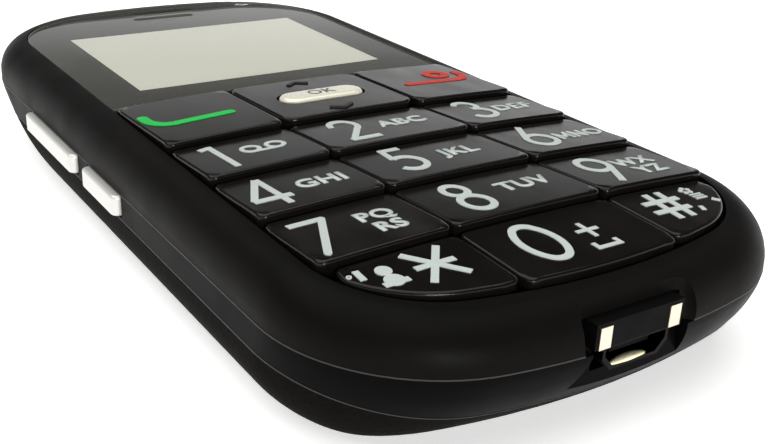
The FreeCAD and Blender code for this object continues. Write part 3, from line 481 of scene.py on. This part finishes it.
def oval(half_width, half_height, end_radius):
    """Upright oval of four tangent arcs."""
    rise = half_height - end_radius
    side_radius = (half_width ** 2 + rise ** 2 - end_radius ** 2) / (2 * (half_width - end_radius))
    shift = side_radius - half_width
    end_half = math.degrees(math.atan2(shift, rise))
    side_half = 90 - end_half
    over = 1  # degrees by which the sides run into the ends
    shape = [(side * -shift, 0, "arc", side_radius, (0 if side > 0 else 180) - side_half - over,
              2 * (side_half + over)) for side in (1, -1)]
    shape += [(0, side * rise, "arc", end_radius, side * 90 - end_half, 2 * end_half) for side in (1, -1)]
    return shape


figures = {
    "1": [(0.35, 3.1, "to", 0.35, -3.1), (0.5, 2.78, "to", -0.95, 2.5)],
    "2": [(0.05, 1.42, "arc", 1.55, 178, -222), (1.14, 0.36, "to", -1.78, -2.9),
          (-1.95, -2.76, "to", 1.85, -2.76)],
    "3": [(-0.05, 1.6, "arc", 1.3, 160, -250), (-0.15, -1.2, "arc", 1.62, 92, -250)],
    "4": [(0.72, 3.1, "to", 0.72, -3.1), (0.62, 3.05, "to", -2.1, -1.3), (-2.3, -1.5, "to", 1.9, -1.5)],
    "5": [(1.5, 2.78, "to", -0.98, 2.78), (-0.72, 3.0, "to", -1.2, 0.3), (-0.3, -1.12, "arc", 1.72, 122, -272)],
    "6": [(0, -1.2, "arc", 1.62, 0, 360), (0.95, 3.1, "to", -1.38, -0.35)],
    "7": [(-1.85, 2.78, "to", 1.75, 2.78), (1.75, 2.78, "to", -1.75, -3.0), (1.75, 2.78, "disc", 0.36),
          (-1.75, -3.0, "disc", 0.36)],
    "8": [(0, 1.55, "arc", 1.2, 0, 360), (0, -1.38, "arc", 1.52, 0, 360)],
    "9": [(0, 1.2, "arc", 1.62, 0, 360), (-0.95, -3.1, "to", 1.38, 0.35)],
    "0": oval(1.9, 3.0, 1.35),
}
star_arms = ((2.0, 0), (3.15, 54), (3.15, 126))
star = [(*polar(reach, angle), "to", *polar(-reach, angle)) for reach, angle in star_arms]
hash_mark = [(-0.75, -2.7, "to", -0.25, 2.7), (0.85, -2.7, "to", 1.35, 2.7), (-2.1, 0.95, "to", 2.5, 0.95),
             (-2.4, -0.95, "to", 2.2, -0.95)]
tape_loops = [(-1.4, 0, "arc", 0.92, 0, 360), (1.4, 0, "arc", 0.92, 0, 360), (-1.4, -0.92, "to", 1.4, -0.92)]

digit_width = 0.72
digit_stretch = (0.94, 1.19)
letter_height = 2.2
two_line_share = 0.92  # how much lower letters on two lines are
letter_bolden = 0.08
letter_width = 0.4
loop_width = 0.5
sign_width = 0.46
digit_places = {"1": (-19.2, -14.4), "2": (-3.5, -13.9), "3": (13.4, -13.8), "4": (-19.3, -24.8),
                "5": (-3.3, -23.9), "6": (13.35, -24.2), "7": (-19.3, -35.4), "8": (-3.7, -34.8),
                "9": (13.3, -35.1)}
letters = {"2": ("ABC", 3.0, -13.9), "3": ("DEF", 18.35, -14.5), "4": ("GHI", -13.5, -24.9),
           "5": ("JKL", 3.0, -24.5), "7": ("PQ\nRS", -13.3, -35.4),
           "8": ("TUV", 3.35, -34.6), "9": ("WX\nYZ", 17.9, -35.9)}
# The font's M breaks when it is made bold, so these three are bars and a ring.
mno = [(-2.92, -1.1, "to", -2.92, 1.1), (-1.44, -1.1, "to", -1.44, 1.1), (-2.92, 1.0, "to", -2.18, -0.5),
       (-1.44, 1.0, "to", -2.18, -0.5), (-0.72, -1.1, "to", -0.72, 1.1), (0.46, -1.1, "to", 0.46, 1.1),
       (-0.72, 1.0, "to", 0.46, -1.0), (2.02, 0, "arc", 0.9, 0, 360)]
for digit, (x, y) in digit_places.items():
    flats = strokes(figures[digit], x, y, digit_width, digit_stretch)
    if digit == "1":
        flats += strokes(tape_loops, -14.1, -13.9, loop_width)
    elif digit == "6":
        flats += strokes(mno, 18.72, -25.5, letter_width)
    else:
        words, letter_x, letter_y = letters[digit]
        height = letter_height * (two_line_share if "\n" in words else 1)
        flats.append(lettering(words, letter_x, letter_y, height, letter_bolden))
    printed("legend_" + digit, flats, "key_" + digit, white_ink)

plus = [(-1.25, 0, "to", 1.25, 0), (0, -1.35, "to", 0, 1.35)]
space_bar = [(-1.25, 0.7, "to", -1.25, -0.4), (-1.45, -0.2, "to", 1.45, -0.2), (1.25, 0.7, "to", 1.25, -0.4)]
printed("legend_0", strokes(figures["0"], -3.3, -44.9, digit_width, (1, 1.05))
        + strokes(plus, 2.1, -44.9, sign_width) + strokes(space_bar, 1.9, -47.9, sign_width), "key_0", white_ink)

person = [(0, 0.75, "disc", 0.7), (0, -0.75, "disc", 0.85), (-1.15, -1.1, "to", 1.15, -1.1)]
stick = [(0.05, 0.85, "to", -0.05, -0.75)]
ring = [(0, 0, "arc", 0.18, 0, 360)]
printed("legend_star", strokes(star, -13.6, -43.8, 0.68) + strokes(person, -18.0, -43.6, 0.6, (1.05, 1.1))
        + strokes(stick, -20.1, -42.55, 0.6) + strokes(ring, -20.95, -42.3, 0.14), "key_star", white_ink)

petals = [(*polar(0.5, angle), "disc", 0.27) for angle in range(90, 450, 72)]
leaves = [(-0.75, -1.1 - 0.42 * i, "to", 0.75, -1.1 - 0.42 * i) for i in range(3)]
commas = [(-1.5, -3.2, "to", -1.8, -4.0), (1.1, -2.3, "to", 1.6, -3.0)]
printed("legend_hash", strokes(hash_mark, 13.0, -44.1, 0.7) + strokes(petals, 17.6, -42.2, 0.2)
        + strokes(leaves, 17.9, -42.1, 0.26) + strokes(commas, 17.6, -42.3, 0.5), "key_hash", white_ink)

green_ink = pad_print("green_pad_print", "#1fc652")
red_ink = pad_print("red_pad_print", "#cf3a30")
call_mark = [(-21.4, 0.75, "to", -21.4, -0.5), (-18.9, -0.45, "arc", 2.5, 180, 92),
             (-19.0, -2.93, "to", -12.3, -2.4), (-21.4, 0.75, "disc", 0.6), (-12.3, -2.4, "disc", 0.6)]
printed("call_mark", strokes(call_mark, 0, 0, 1.2), "key_call", green_ink)
end_mark = [(11.9, -2.2, "to", 19.0, -2.5), (18.9, -0.2, "arc", 2.3, -90, 92), (21.2, -0.2, "to", 21.2, 1.0),
            (18.1, 0.75, "arc", 1.25, 0, 360), (11.9, -2.2, "disc", 0.55), (21.2, 1.0, "disc", 0.55)]
printed("end_mark", strokes(end_mark, 0, 0, 1.1), "key_end", red_ink)

gloss_relief = pad_print("gloss_black_relief", "#33302c")
chevron = [(-1.2, -0.4, "to", 0.08, 0.5), (-0.08, 0.5, "to", 1.2, -0.4)]
printed("rocker_marks", strokes(chevron, -0.2, 4.4, 0.45, (1.15, 1.15))
        + strokes(chevron, -0.5, -7.1, 0.45, (1.2, -1.15)), "key_nav", gloss_relief, proud=0.16)
dark_ink = pad_print("dark_grey_pad_print", "#5a584c")
printed("ok_letters", [lettering("OK", 0, -1.3, 1.7, 0.02)], "key_ok", dark_ink, proud=0.02, sunk=0.06)


# ---- lens print and display ----------------------------------------------------------------------------------

display_window = (-17.0, 17.1, 12.8, 39.2)  # left, right, low and high edge
print_rise = 0.3  # over the lens's underside, so that the print clears the frame below
print_thickness = 0.02
print_shrink = 0.999  # keeps the print off the lens's own walls
ear_half_width = 5.2  # the lens's walls round the ear slot, which lie within these, stay bare
ear_low, ear_high = 45.5, 48.5
# By its normal.z, a face is underside below the first of these, top above the second and wall between them.
walls_above = -0.9
tops_above = 0.3


def lens_sheet(keep_wall, keep_window):
    """Part of a sheet that follows the lens's outline, set where the print and display appear through it."""
    bm = node_mesh("display_lens")
    bmesh.ops.recalc_face_normals(bm, faces=bm.faces)
    bmesh.ops.delete(bm, geom=[f for f in bm.faces if f.normal.z > tops_above], context="FACES")
    bmesh.ops.split(bm, geom=[f for f in bm.faces if f.normal.z >= walls_above])
    left, right, low, high = display_window
    for point, normal in (((left, 0, 0), (1, 0, 0)), ((right, 0, 0), (1, 0, 0)), ((0, low, 0), (0, 1, 0)),
                          ((0, high, 0), (0, 1, 0))):
        geometry = bm.verts[:] + bm.edges[:] + bm.faces[:]
        bmesh.ops.bisect_plane(bm, geom=geometry, dist=0.0001, plane_co=point, plane_no=normal)
    unwanted = []
    for face in bm.faces:
        centre = face.calc_center_median()
        if face.normal.z >= walls_above:
            by_ear_slot = abs(centre.x) < ear_half_width and ear_low < centre.y < ear_high
            if not keep_wall or by_ear_slot:
                unwanted.append(face)
        elif (left < centre.x < right and low < centre.y < high) != keep_window:
            unwanted.append(face)
    bmesh.ops.delete(bm, geom=unwanted, context="FACES")
    sheet = {v for f in bm.faces if f.normal.z < walls_above for v in f.verts}
    bmesh.ops.translate(bm, vec=(0, 0, print_rise), verts=list(sheet))
    centre = Vector((0, sum(v.co.y for v in bm.verts) / len(bm.verts), 0))
    bmesh.ops.scale(bm, vec=(print_shrink, print_shrink, 1), space=Matrix.Translation(-centre), verts=bm.verts)
    bmesh.ops.solidify(bm, geom=bm.faces[:], thickness=print_thickness)
    return bm


finished("lens_print", lens_sheet(True, False), back_print(), "handset")
finished("display_face", lens_sheet(False, True), finishes["display_panel"], "handset")


# ---- keycaps -------------------------------------------------------------------------------------------------

# The frame's keys stand apart and have round corners, which leaves them room. The caps close up on them.
cad_corner = 1.6
tight_corner = 0.85
gap_closed = 0.18  # how far an edge that faces another key moves out
cap_bottom = 12.84  # a key is cap above this and neck below
sharp_edge = 35  # degrees


def corner_growth(x, y):
    """How much further out a tight corner lies than the frame's round one, along the way to (x, y)."""
    along = Vector((x, y)).normalized()
    inner = cad_corner - tight_corner
    if min(along) * cad_corner <= max(along) * inner:
        return 1 / max(along)
    across = inner * (along.x + along.y)
    return (across + math.sqrt(across ** 2 - 2 * inner ** 2 + tight_corner ** 2)) / cad_corner


def keycap(node, column, row):
    """The frame's key with closer edges and tighter corners above its neck."""
    bm = node_mesh(node)
    cap = [v for v in bm.verts if v.co.z > cap_bottom]
    low = Vector(min(v.co[i] for v in cap) for i in range(2))
    high = Vector(max(v.co[i] for v in cap) for i in range(2))
    for vert in cap:
        for side in (-1, 1):
            for rise in (-1, 1):
                # The last row's outer corners follow the housing's rounded end and stay.
                if row == 4 and (column - 1) * side > 0 and rise < 0:
                    continue
                x = side * vert.co.x - (side * (high if side > 0 else low).x - cad_corner)
                y = rise * vert.co.y - (rise * (high if rise > 0 else low).y - cad_corner)
                if x > 0 and y > 0:
                    further = corner_growth(x, y) - 1
                    vert.co.x += side * x * further
                    vert.co.y += rise * y * further
    left = low.x if column == 0 else low.x - gap_closed
    right = high.x if column == 2 else high.x + gap_closed
    bottom = low.y if row == 4 else low.y - gap_closed
    top = high.y + gap_closed
    grown = Vector(((right - left) / (high.x - low.x), (top - bottom) / (high.y - low.y), 1))
    for vert in cap:
        vert.co.x = left + (vert.co.x - low.x) * grown.x
        vert.co.y = bottom + (vert.co.y - low.y) * grown.y
    piece = finished(node.replace("key_", "keycap_"), bm, key_plastic, body_of_node[node])
    smooth(piece)
    piece.data.set_sharp_from_angle(angle=math.radians(sharp_edge))
    weighted = piece.modifiers.new("weighted_normals", "WEIGHTED_NORMAL")
    weighted.keep_sharp = True
    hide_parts(node)


key_grid = (("call", "nav", "end"), ("1", "2", "3"), ("4", "5", "6"), ("7", "8", "9"), ("star", "0", "hash"))
for row, names in enumerate(key_grid):
    for column, name in enumerate(names):
        if name != "nav":
            keycap("key_" + name, column, row)


# ---- socket lip and seams ------------------------------------------------------------------------------------

lip_centre = Vector((-0.55, -53.8, 6.85))
lip_bow = 14.0
lip_half_length = 2.1
lip_radius = 0.42
lip_steps = 24
lip_end = 0.01  # square of the thinnest that an end is, so that it doesn't close to a point


def rolled_lip():
    """Rolled edge along the floor of the inlet's mouth: a slim bowed bead, thin at both ends."""
    bm = bmesh.new()
    turned = math.degrees(lip_half_length / lip_bow)
    hub = (0, -lip_bow, 0)
    ring = bmesh.ops.create_circle(bm, radius=lip_radius, segments=16, cap_ends=True)["verts"]
    for centre, angle, axis in (((0, 0, 0), 90, "X"), ((0, 0, 0), 90, "Z"), (hub, -turned, "Z")):
        bmesh.ops.rotate(bm, cent=centre, matrix=Matrix.Rotation(math.radians(angle), 3, axis), verts=ring)
    bmesh.ops.spin(bm, geom=bm.verts[:] + bm.edges[:] + bm.faces[:], cent=hub, axis=(0, 0, 1),
                   angle=math.radians(2 * turned), steps=lip_steps, use_merge=False)
    for vert in bm.verts:
        middle = math.sqrt(lip_bow ** 2 - min(lip_half_length, abs(vert.co.x)) ** 2) - lip_bow
        slim = math.sqrt(max(lip_end, 1 - (vert.co.x / lip_half_length) ** 2))
        vert.co.y = middle + (vert.co.y - middle) * slim
        vert.co.z *= slim
    bmesh.ops.translate(bm, vec=lip_centre, verts=bm.verts)
    smooth(finished("inlet_rolled_lip", bm, metal("dull_tin_edge", "#fbf4d0", 0.5, 0.4, 0.001), "handset"))


rolled_lip()

seam_height = 0.14
seam_proud = 0.03
seam_thickness = 0.1
seam_reach = 0.06  # how far inside the outline an edge may lie and still be the outer one
# By how far its normal turns to the shell's open side, a face is rim above the first and wall below the second.
rim_above = 0.9
wall_below = 0.8
# Painted highlight: a grey lighter than the shells' paint, so that the seam beads read as lit edges.
seam_painted_highlight = pad_print("seam_painted_highlight_edge", "#343230")


def outer_rim(bm, upward):
    """The edges where a shell's flat rim meets its outer wall, and each vertex's wall normals added up."""
    rims = []
    walls = {}
    for edge in bm.edges:
        if len(edge.link_faces) != 2:
            continue
        rim, wall = sorted(edge.link_faces, key=lambda face: -face.normal.z * upward)
        middle = (edge.verts[0].co + edge.verts[1].co) / 2
        meet = rim.normal.z * upward > rim_above and wall.normal.z * upward < wall_below
        if meet and wall.normal.xy.dot(middle.xy) > 0:
            rims.append(edge)
            for vert in edge.verts:
                walls[vert] = walls.get(vert, Vector()) + wall.normal
    flat = [vert.co.xy for edge in rims for vert in edge.verts]
    hull = [flat[i] for i in convex_hull_2d(flat)]
    outside = set()
    for edge in rims:
        middle = ((edge.verts[0].co + edge.verts[1].co) / 2).xy
        distance = min((middle - intersect_point_line(middle, a, b)[0].xy).length
                       for a, b in zip(hull, hull[1:] + hull[:1]))
        if distance < seam_reach:
            outside.add(edge)
    return outside, walls


def seam_bead(name, node, upward, body):
    """Fine bead round the outside of a shell's parting line, for its rounded edge; its grey, lighter than the
    shell, is a painted highlight.
    """
    bm = node_mesh(node)
    bmesh.ops.recalc_face_normals(bm, faces=bm.faces)
    outside, walls = outer_rim(bm, upward)
    bmesh.ops.delete(bm, geom=[e for e in bm.edges if e not in outside], context="EDGES_FACES")
    bmesh.ops.delete(bm, geom=bm.faces[:], context="FACES_ONLY")
    bmesh.ops.delete(bm, geom=[v for v in bm.verts if not v.link_edges], context="VERTS")
    # Each place's way down the wall, for the new vertex that starts at the same place.
    along = {}
    for vert in bm.verts:
        normal = walls[vert].normalized()
        level = normal.xy.normalized() * normal.z
        along[vert.co.to_tuple(4)] = Vector((level.x, level.y, -normal.xy.length)) * upward
    for vert in verts_of(bmesh.ops.extrude_edge_only(bm, edges=bm.edges[:])["geom"]):
        vert.co += seam_height * along[vert.co.to_tuple(4)]
    bmesh.ops.recalc_face_normals(bm, faces=bm.faces)
    bm.normal_update()
    inward = [f for f in bm.faces if f.normal.xy.dot(f.calc_center_median().xy) < 0]
    bmesh.ops.reverse_faces(bm, faces=inward)
    bm.normal_update()
    for vert in bm.verts:
        vert.co += vert.normal * seam_proud
    bmesh.ops.solidify(bm, geom=bm.faces[:], thickness=seam_thickness)
    finished(name, bm, seam_painted_highlight, body)


seam_bead("front_seam_bead", "front_housing", -1, "handset")
seam_bead("cover_seam_bead", "battery_cover", 1, "cover")


# ---- stage ---------------------------------------------------------------------------------------------------

def seen_rays(tree):
    """One for a ray that shows the background: straight, mirrored or through glass."""
    path = add(tree, "ShaderNodeLightPath")
    most = add(tree, "ShaderNodeMath", {"operation": "MAXIMUM"}, _0=path.outputs["Is Camera Ray"],
               _1=path.outputs["Is Glossy Ray"]).outputs[0]
    return add(tree, "ShaderNodeMath", {"operation": "MAXIMUM"}, _0=most,
               _1=path.outputs["Is Transmission Ray"]).outputs[0]


def floor_paper():
    """White matt paper, which shows itself white to the camera and keeps the object's shadow."""
    made, tree, shader = material("white_floor_paper", "#f4f3f0", 0.9)
    # Beyond the lamp's reach, 0.2 to 0.8 m out, the paper would go grey, so it shows more of its own white.
    away = add(tree, "ShaderNodeVectorMath", {"operation": "LENGTH"}, _0=place(tree)).outputs["Value"]
    own = add(tree, "ShaderNodeMapRange", Value=away, From_Min=0.2, From_Max=0.8, To_Min=0.6, To_Max=1.0)
    strength = add(tree, "ShaderNodeMath", {"operation": "MULTIPLY"}, _0=seen_rays(tree), _1=own.outputs[0])
    shader.inputs["Specular IOR Level"].default_value = 0.0
    shader.inputs["Emission Color"].default_value = (1, 1, 1, 1)
    tree.links.new(strength.outputs[0], shader.inputs["Emission Strength"])
    return made


def floor(half_width_m, height_m):
    """Square of paper under the object."""
    bm = bmesh.new()
    corners = ((-1, -1), (1, -1), (1, 1), (-1, 1))
    bm.faces.new([bm.verts.new((x * half_width_m, y * half_width_m, height_m)) for x, y in corners])
    mesh = bpy.data.meshes.new("floor")
    bm.to_mesh(mesh)
    bm.free()
    mesh.materials.append(floor_paper())
    plane = bpy.data.objects.new("floor", mesh)
    bpy.context.scene.collection.objects.link(plane)


floor(half_width_m=3, height_m=-0.0002)


def lamp(name, place_m, target_m, size_m, watts):
    """Rectangular soft light that faces a point."""
    data = bpy.data.lights.new(name, "AREA")
    data.shape = "RECTANGLE"
    data.size, data.size_y = size_m
    data.energy = watts
    light = bpy.data.objects.new(name, data)
    light.location = place_m
    light.rotation_euler = (Vector(target_m) - Vector(place_m)).to_track_quat("-Z", "Y").to_euler()
    bpy.context.scene.collection.objects.link(light)


lamp("overhead_softbox", place_m=(-0.1, 0.1, 0.8), target_m=(0, 0, 0), size_m=(1.2, 1.2), watts=9.5)
lamp("front_card", place_m=(-0.22, -0.75, 0.14), target_m=(0, -0.05, 0.01), size_m=(0.25, 0.15), watts=3.2)

# A white wall round the table that gives way to a dark ceiling: sine of the elevation, then brightness.
room_levels = ((0.2, 1.0), (0.265, 0.2), (0.33, 0.03), (1.0, 0.025))
world = bpy.data.worlds.new("studio")
bpy.context.scene.world = world
world.use_nodes = True
sky = world.node_tree
background = sky.nodes["Background"]
direction = add(sky, "ShaderNodeTexCoord").outputs["Generated"]
height = add(sky, "ShaderNodeSeparateXYZ", Vector=direction).outputs["Z"]
ramp = add(sky, "ShaderNodeValToRGB", Fac=height)
for i, (position, grey) in enumerate(room_levels):
    stop = ramp.color_ramp.elements[i] if i < 2 else ramp.color_ramp.elements.new(position)
    stop.position = position
    stop.color = (grey, grey, grey, 1)
# The room lights the object at half the brightness at which it shows.
level = add(sky, "ShaderNodeMapRange", Value=seen_rays(sky), To_Min=0.5, To_Max=1.0).outputs[0]
sky.links.new(ramp.outputs["Color"], background.inputs["Color"])
sky.links.new(level, background.inputs["Strength"])

bpy.context.scene.view_settings.view_transform = "Standard"


# ---- camera --------------------------------------------------------------------------------------------------

camera_place = Vector((-61.116, -106.699, 52.665))
# The turn's axis, as long as its angle in radians. Its rows are the camera's right, down and ahead.
camera_turn = Vector((1.9354, -0.5452, 0.4085))
right, down, ahead = Matrix.Rotation(camera_turn.length, 3, camera_turn.normalized())
camera_data = bpy.data.cameras.new("camera")
camera_data.lens = 50.07
camera_data.sensor_width = 36.0
camera_data.clip_start = 0.005
camera_data.dof.use_dof = False
camera = bpy.data.objects.new("camera", camera_data)
axes = Matrix((right, -down, -ahead)).transposed()
camera.matrix_world = Matrix.Translation(camera_place * MM) @ axes.to_4x4()
bpy.context.scene.collection.objects.link(camera)
bpy.context.scene.camera = camera
